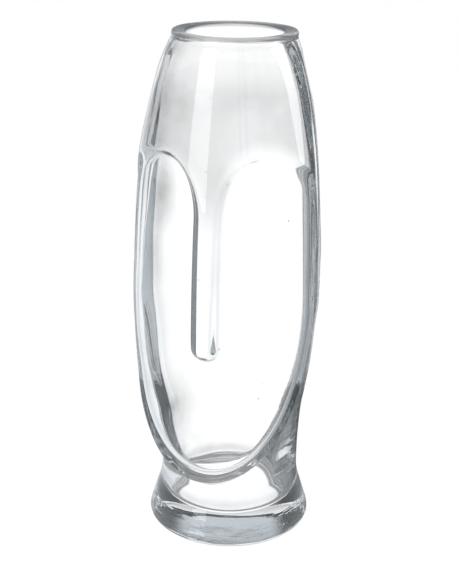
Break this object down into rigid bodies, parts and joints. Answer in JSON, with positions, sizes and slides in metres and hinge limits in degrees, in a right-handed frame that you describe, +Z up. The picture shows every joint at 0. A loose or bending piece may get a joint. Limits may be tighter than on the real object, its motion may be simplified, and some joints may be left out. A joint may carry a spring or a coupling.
{
  "type": "glass face vase",
  "caption": "Tall vase of clear, thick glass in the shape of a long stylised head on a flared foot, hollow and open at the top.",
  "frame": {"origin": "centre of the foot's flat underside, on the surface that the vase stands on", "axes": "+Z up along the vase's axis, -Y the way the face looks, +X to the face's left"},
  "size_m": [0.1096, 0.1094, 0.3],
  "materials": {
    "clear_glass": "clear, polished, faintly grey-blue where it is thick"
  },
  "bodies": {
    "root": {"glass_vase": "clear_glass"}
  },
  "joints": []
}
